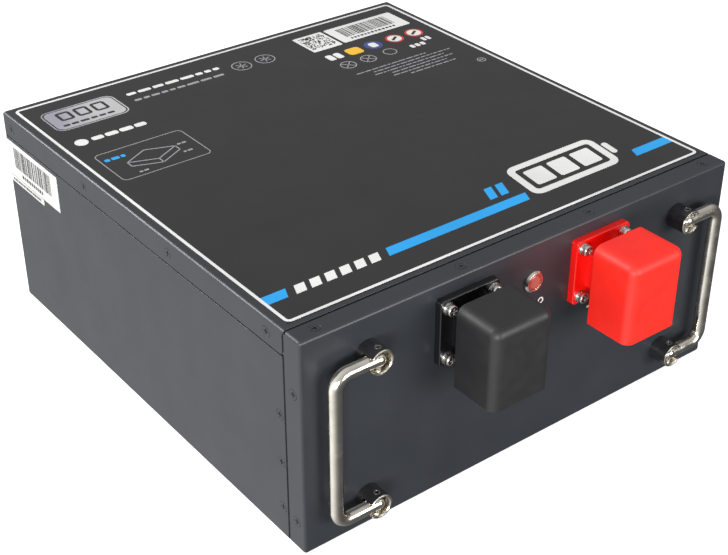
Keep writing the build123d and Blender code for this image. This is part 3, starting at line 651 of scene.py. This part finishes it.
def cell_gauge(prints):
    """A slanted cell gauge: an outline, its pole and its charge bars."""
    low, high = GAUGE_LOW, GAUGE_HIGH
    inner_low, inner_high = inset(low, GAUGE_LINE), inset(high, -GAUGE_LINE)
    outer = rounded(low, high, GAUGE_ROUND[0])
    inner = rounded(inner_low, inner_high, GAUGE_ROUND[1])
    prints.band(lean(outer), lean(inner))
    pole_low = (high[0] + POLE_GAP, low[1] + POLE_INSET)
    pole_high = (pole_low[0] + POLE_W, high[1] - POLE_INSET)
    prints.fill(lean(rounded(pole_low, pole_high, POLE_ROUND)))
    room = inner_high[0] - inner_low[0] - (CHARGE_BARS + 1) * CHARGE_GAP
    bar_w = room / CHARGE_BARS
    for index in range(CHARGE_BARS):
        u = inner_low[0] + CHARGE_GAP + index * (bar_w + CHARGE_GAP)
        bar_low, bar_high = (u, inner_low[1] + CHARGE_GAP), (u + bar_w, inner_high[1] - CHARGE_GAP)
        prints.fill(lean(rounded(bar_low, bar_high, CHARGE_ROUND)))


def grey_prints():
    """Thin lines and fine print."""
    prints = Prints("label_grey_print", TOP, RIGHT, BACK)
    prints.blank_words((73.5, 284.6), seed=4, length=72, widths=(4, 10), height=2.6, gap=1.6)
    # small print, drifting to the right towards the front
    for row in range(SMALL_LINES):
        corner = (219.5 + 7.0 * (row % 2) + row * 5.0, 227.5 - row * 4.3)
        length = (88.0 - 9.0 * abs(row - 1)) * 0.8
        prints.blank_words(corner, seed=20 + row, length=length, widths=(1.6, 7), height=1.1, gap=0.9)
    prints.circle_line(SMALL_SIGN, SMALL_SIGN_R, width=0.7)
    prints.dashes((304.8, 193.3), (1.6, 1.6), height=1.5, gap=0.5)
    for centre in STAR_SIGNS:
        prints.circle_line(centre, STAR_SIGN_R, FINE_LINE)
        for angle in (15, 75, 135):
            turn = math.radians(angle)
            du, dv = STAR_ARM * math.cos(turn), STAR_ARM * math.sin(turn)
            prints.stroke(moved(centre, -du, -dv), moved(centre, du, dv), FINE_LINE)
    for centre in CROSS_SIGNS:
        prints.circle_line(centre, CROSS_SIGN_R, FINE_LINE)
        for rise in (CROSS_ARM, -CROSS_ARM):
            start, end = moved(centre, -CROSS_ARM, -rise), moved(centre, CROSS_ARM, rise)
            prints.stroke(start, end, FINE_LINE)
    prints.circle_line(RING_SIGN, RING_SIGN_R, FINE_LINE)
    outlined_drawing(prints)
    prints.done(INK_GREY)


def outlined_drawing(prints):
    """A rounded frame round a line drawing of a flat box."""
    prints.frame_line(DRAWING_LOW, DRAWING_HIGH, DRAWING_ROUND, DRAWING_LINE)
    foot_left, foot_right = DRAWN_LEFT, DRAWN_RIGHT
    top_left, top_right = moved(foot_left, *DRAWN_RISE), moved(foot_right, *DRAWN_RISE)
    rear_foot = moved(foot_right, *DRAWN_RUN)
    rear_left, rear_right = moved(top_left, *DRAWN_RUN), moved(top_right, *DRAWN_RUN)
    for start, end in (
        (foot_left, foot_right),
        (top_left, top_right),
        (foot_left, top_left),
        (foot_right, top_right),
        (top_right, rear_right),
        (top_left, rear_left),
        (foot_right, rear_foot),
        (rear_foot, rear_right),
        (rear_left, rear_right),
    ):
        prints.stroke(start, end, FINE_LINE)
    # where the figures of a size drawing would be
    prints.dashes((24.0, 192.6), (2.4, 3.4), height=1.8, gap=0.8)
    prints.dashes((62.0, 211.0), (2.6, 3.2), height=1.8, gap=0.8)
    prints.dashes((60.0, 199.5), (2.2, 3.6), height=1.8, gap=0.8)


def badge():
    """A metallic badge with three cells on it instead of words."""
    look = Look("badge_foil", (0.62, 0.62, 0.66), 0.24, metallic=0.55)
    fade = look.span(look.axis("X"), TOP.x + 10 * MM, TOP.x + 64 * MM, 0.0, 1.0)
    ripple = look.span(look.noise(26), 0.35, 0.65, -0.25, 0.25)
    look.paint(look.mix(look.sum("ADD", fade, ripple), (0.50, 0.49, 0.58), (0.86, 0.86, 0.86)))
    foil = look.grain(90, 0.2, 0.05).coat(0.5, 0.15).made()
    plate = Prints("label_badge", TOP, RIGHT, BACK)
    plate.frame_line(BADGE_LOW, BADGE_HIGH, BADGE_ROUND[0], BADGE_LINE)
    step = BADGE_LINE + BADGE_GROOVE
    plate.fill(rounded(inset(BADGE_LOW, step), inset(BADGE_HIGH, -step), BADGE_ROUND[1]))
    plate.done(foil)
    marks = Prints("label_badge_marks", TOP, RIGHT, BACK, rise=BADGE_LAYER)
    for index in range(BADGE_CELLS):
        low = moved(BADGE_CELL_LOW, index * BADGE_CELL_PITCH, 0)
        marks.frame_line(low, moved(low, *BADGE_CELL), radius=2.4, width=2.2)
    marks.blank_words((16.5, 278.4), seed=11, length=38, widths=(3, 7), height=2.6, gap=1.2)
    marks.done(INK_BLACK)


def coloured_spots():
    """Red rings, an amber tile and a navy disc in the row of icons."""
    red = Prints("label_red_print", TOP, RIGHT, BACK, rise=SECOND_LAYER)
    for centre in RED_SIGNS:
        red.circle_line(centre, RED_SIGN_R, width=1.6)
    red.done(INK_RED)
    amber = Prints("label_amber_print", TOP, RIGHT, BACK)
    amber.fill(rounded((237.0, 256.8), (249.6, 268.0), 3.0))
    amber.done(INK_AMBER)
    navy = Prints("label_navy_print", TOP, RIGHT, BACK)
    navy.fill(disc(NAVY_SIGN, NAVY_SIGN_R))
    navy.done(INK_NAVY)
    chalk = Prints("label_navy_mark", TOP, RIGHT, BACK, rise=THIRD_LAYER)
    chalk.fill(rounded((258.0, 258.6), (264.2, 266.6), 2.0))
    chalk.done(INK_WHITE)


def bars(prints, chooser, reach, sides, widths, gaps):
    """Upright bars of chosen widths and gaps, from one end of reach to the other."""
    u, end = reach
    while u < end:
        width = chooser.choice(widths)
        prints.block((u, sides[0]), (u + width, sides[1]))
        u += width + chooser.choice(gaps)


def code_prints():
    """Dark marks on the two white code labels, from a seeded choice of cells and bars."""
    prints = Prints("label_code_print", TOP, RIGHT, BACK, rise=THIRD_LAYER)
    chooser = random.Random(41)
    for row in range(CODE_CELLS):
        for column in range(CODE_CELLS):
            if chooser.random() < CODE_SHARE:
                low = moved(CODE_CORNER, column * CODE_CELL, row * CODE_CELL)
                prints.block(low, inset(low, CODE_DOT))
    bars(prints, chooser, BARS_U, BARS_V, (0.5, 0.5, 0.9, 1.3), (0.5, 0.7, 1.1))
    prints.blank_words((256.0, 281.4), seed=51, length=42, widths=(1.6, 2.8), height=2.6, gap=1.0)
    for centre in RED_SIGNS:
        prints.stroke(moved(centre, -3.2, -2.0), moved(centre, 3.0, 2.2), width=2.2)
    prints.done(INK_BLACK)


def sticker_prints():
    """Bars and fine print on the two stickers of the left wall."""
    corner = Vector((STICKER_LOW.x, STICKER_HIGH.y, STICKER_LOW.z))
    prints = Prints("side_label_print", corner, -BACK, UP)
    top = (STICKER_HIGH.z - STICKER_LOW.z) / MM
    sides = (top - 18.6, top - 3.4)
    bars(prints, random.Random(77), (9.0, 62.0), sides, (0.5, 0.8, 1.2, 1.7), (0.5, 0.8, 1.2))
    below_bars = (18.0, top - 23.6)
    prints.blank_words(below_bars, seed=78, length=30, widths=(1.6, 2.8), height=2.8, gap=1.0)
    prints.blank_words((3.0, 1.3), seed=79, length=40, widths=(1.4, 2.6), height=2.0, gap=0.7)
    prints.done(INK_BLACK)


def panel_prints():
    """Polarity signs under the terminals, and a bar, a slash and a ring under the button."""
    origin = Vector((0, FRONT_Y, 0))
    prints = Prints("panel_print", origin, RIGHT, UP)
    arm, line, thin_line = 3.8, 1.2, 1.0
    below_plate = 10.0
    for node, crossed in (("negative_base", False), ("positive_base", True)):
        low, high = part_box(node)
        u, v = (low.x + high.x) / 2 / MM, low.z / MM - below_plate
        prints.stroke((u - arm, v), (u + arm, v), line)
        if crossed:
            prints.stroke((u, v + line / 2), (u, v + arm), line)
            prints.stroke((u, v - arm), (u, v - line / 2), line)
    u = centre_of("button_body").x / MM
    foot, top = BUTTON_FOOT / MM - 11.6, BUTTON_FOOT / MM - 7.0
    side_step, overshoot = 7.6, 0.6
    prints.stroke((u - side_step, foot), (u - side_step, top), line)
    prints.stroke((u - 1.0, foot - overshoot), (u + 2.6, top + overshoot), thin_line)
    prints.circle_line((u + side_step, (foot + top) / 2), (top - foot) / 2, thin_line)
    prints.done(INK_WHITE)


stripe_prints()
white_prints()
grey_prints()
badge()
coloured_spots()
code_prints()
sticker_prints()
panel_prints()


# ---------------------------------------------------------------- studio
FLOOR_HALF = 6.0
FLOOR_GLOW = 0.55


def studio_floor():
    """Pale floor that glows a little, so that it stays white behind the object."""
    data = bpy.data.meshes.new("studio_floor")
    turns = ((-1, -1), (1, -1), (1, 1), (-1, 1))
    corners = [(x * FLOOR_HALF, y * FLOOR_HALF, 0) for x, y in turns]
    data.from_pydata(corners, [], [(0, 1, 2, 3)])
    piece = bpy.data.objects.new("studio_floor", data)
    bpy.context.scene.collection.objects.link(piece)
    look = Look("studio_floor", (0.86, 0.86, 0.86), 0.6, specular=0.2)
    look.clouds(0.01, 3)
    look.shader.inputs["Emission Color"].default_value = (1, 1, 1, 1)
    look.shader.inputs["Emission Strength"].default_value = FLOOR_GLOW
    data.materials.append(look.made())
    piece.visible_glossy = False
    piece.visible_diffuse = False


def stand(piece, place, target):
    """Puts a light or a camera at a place, looking at a target."""
    piece.location = place
    toward = Vector(target) - Vector(place)
    piece.rotation_euler = toward.to_track_quat("-Z", "Y").to_euler()
    bpy.context.scene.collection.objects.link(piece)


def area_light(name, place, target, size, power):
    data = bpy.data.lights.new(name, "AREA")
    data.shape = "RECTANGLE"
    data.size, data.size_y = size
    data.energy = power
    piece = bpy.data.objects.new(name, data)
    stand(piece, place, target)


SKY_LOW = 0.10
SKY_SIDE = (-0.92, 0.25, -0.30)
SKY_SIDE_RISE = 1.4
SKY_SIDE_POWER = 4.0
SKY_UP_RISE = 0.62


def studio_world():
    """Pale overhead and bright on the left of the case, and dark away from both."""
    world = bpy.data.worlds.new("studio")
    bpy.context.scene.world = world
    world.use_nodes = True
    tree = world.node_tree
    background = tree.nodes["Background"]
    background.inputs["Color"].default_value = (1, 1, 1, 1)
    direction = tree.nodes.new("ShaderNodeTexCoord").outputs["Generated"]

    def along(axis):
        dot = tree.nodes.new("ShaderNodeVectorMath")
        dot.operation = "DOT_PRODUCT"
        dot.inputs[1].default_value = axis
        tree.links.new(direction, dot.inputs[0])
        return dot.outputs["Value"]

    def steps(value, moves):
        for operation, amount in moves:
            step = tree.nodes.new("ShaderNodeMath")
            step.operation = operation
            step.inputs[1].default_value = amount
            tree.links.new(value, step.inputs[0])
            value = step.outputs["Value"]
        return value

    to_share = (("ADD", 1.0), ("MULTIPLY", 0.5))
    to_glow = (("POWER", SKY_SIDE_POWER), ("MULTIPLY", SKY_SIDE_RISE), ("ADD", SKY_LOW))
    side = steps(along(SKY_SIDE), to_share + to_glow)
    overhead = steps(along((0, 0, 1)), (("MAXIMUM", 0.0), ("MULTIPLY", SKY_UP_RISE)))
    total = tree.nodes.new("ShaderNodeMath")
    total.operation = "ADD"
    tree.links.new(side, total.inputs[0])
    tree.links.new(overhead, total.inputs[1])
    tree.links.new(total.outputs["Value"], background.inputs["Strength"])


CAMERA_LENS = 70.6
CAMERA_NEAR = 0.05
CAMERA_PLACE = (-0.5034, -0.6666, 0.5613)
CAMERA_AIM = (0.0127, 0.0042, 0.0287)


def main_camera():
    """Looks down on the front left corner of the case."""
    data = bpy.data.cameras.new("camera")
    data.lens = CAMERA_LENS
    data.clip_start = CAMERA_NEAR
    piece = bpy.data.objects.new("camera", data)
    stand(piece, CAMERA_PLACE, CAMERA_AIM)
    bpy.context.scene.camera = piece


studio_floor()
studio_world()
FRONT_TARGET = (0, -0.1, 0.08)
CORNER_TARGET = (-0.12, -0.17, 0.10)
LID_TARGET = (-0.1, 0.1, 0.14)
area_light("key_light", (0.5, -1.8, 0.45), FRONT_TARGET, size=(1.2, 0.7), power=26)
area_light("left_fill", (-1.7, -0.7, 0.4), FRONT_TARGET, size=(1.0, 0.8), power=4)
area_light("corner_light", (-0.85, -1.05, 0.24), CORNER_TARGET, size=(0.5, 0.3), power=12)
area_light("back_left", (-0.8, 1.0, 0.8), LID_TARGET, size=(0.5, 0.5), power=15)
main_camera()
bpy.context.scene.view_settings.view_transform = "Standard"

bpy.context.view_layer.update()
